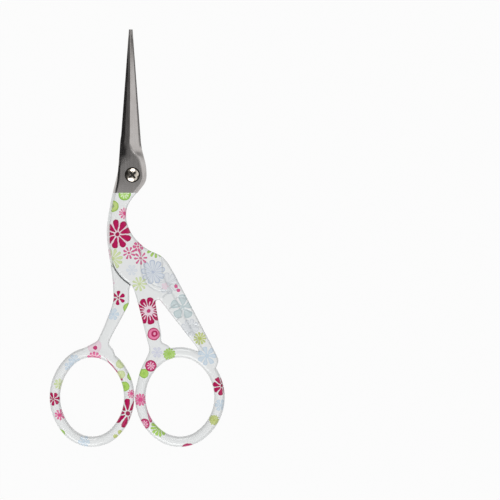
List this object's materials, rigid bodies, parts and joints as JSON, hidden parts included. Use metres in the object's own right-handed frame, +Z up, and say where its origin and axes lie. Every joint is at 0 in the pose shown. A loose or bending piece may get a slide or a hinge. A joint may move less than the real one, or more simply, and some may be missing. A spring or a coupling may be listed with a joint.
{
  "type": "stork embroidery scissors",
  "caption": "Small stork-shaped embroidery scissors with sharp blades, a pivot screw, oval finger bows and a flowered coat on the handles.",
  "frame": {"origin": "on the table, under the middle of the closed scissors' bounding box; the scissors lie on their back half", "axes": "+Y from the finger bows to the blade points; +X towards the front half's bow, the right one seen from above; +Z up, along the pivot screw, front half on top"},
  "size_m": [0.0482, 0.115, 0.0034],
  "materials": {
    "blade_steel": "stainless steel, ground facets with a fine brushed grain, satin",
    "screw_nickel": "nickel-plated steel, smooth dome",
    "printed_coat": "white lacquer with a scattered flower print under gloss clear coat"
  },
  "bodies": {
    "back": {"back_half": "blade_steel", "back_coat": "printed_coat", "pivot_screw": "screw_nickel"},
    "front": {"front_half": "blade_steel", "front_coat": "printed_coat"}
  },
  "joints": [
    {"name": "pivot", "type": "hinge", "parent": "back", "child": "front", "pos_m": [-0.00127, 0.0174, 0.00162], "axis": [0, 0, 1], "range_deg": [0, 90]}
  ]
}
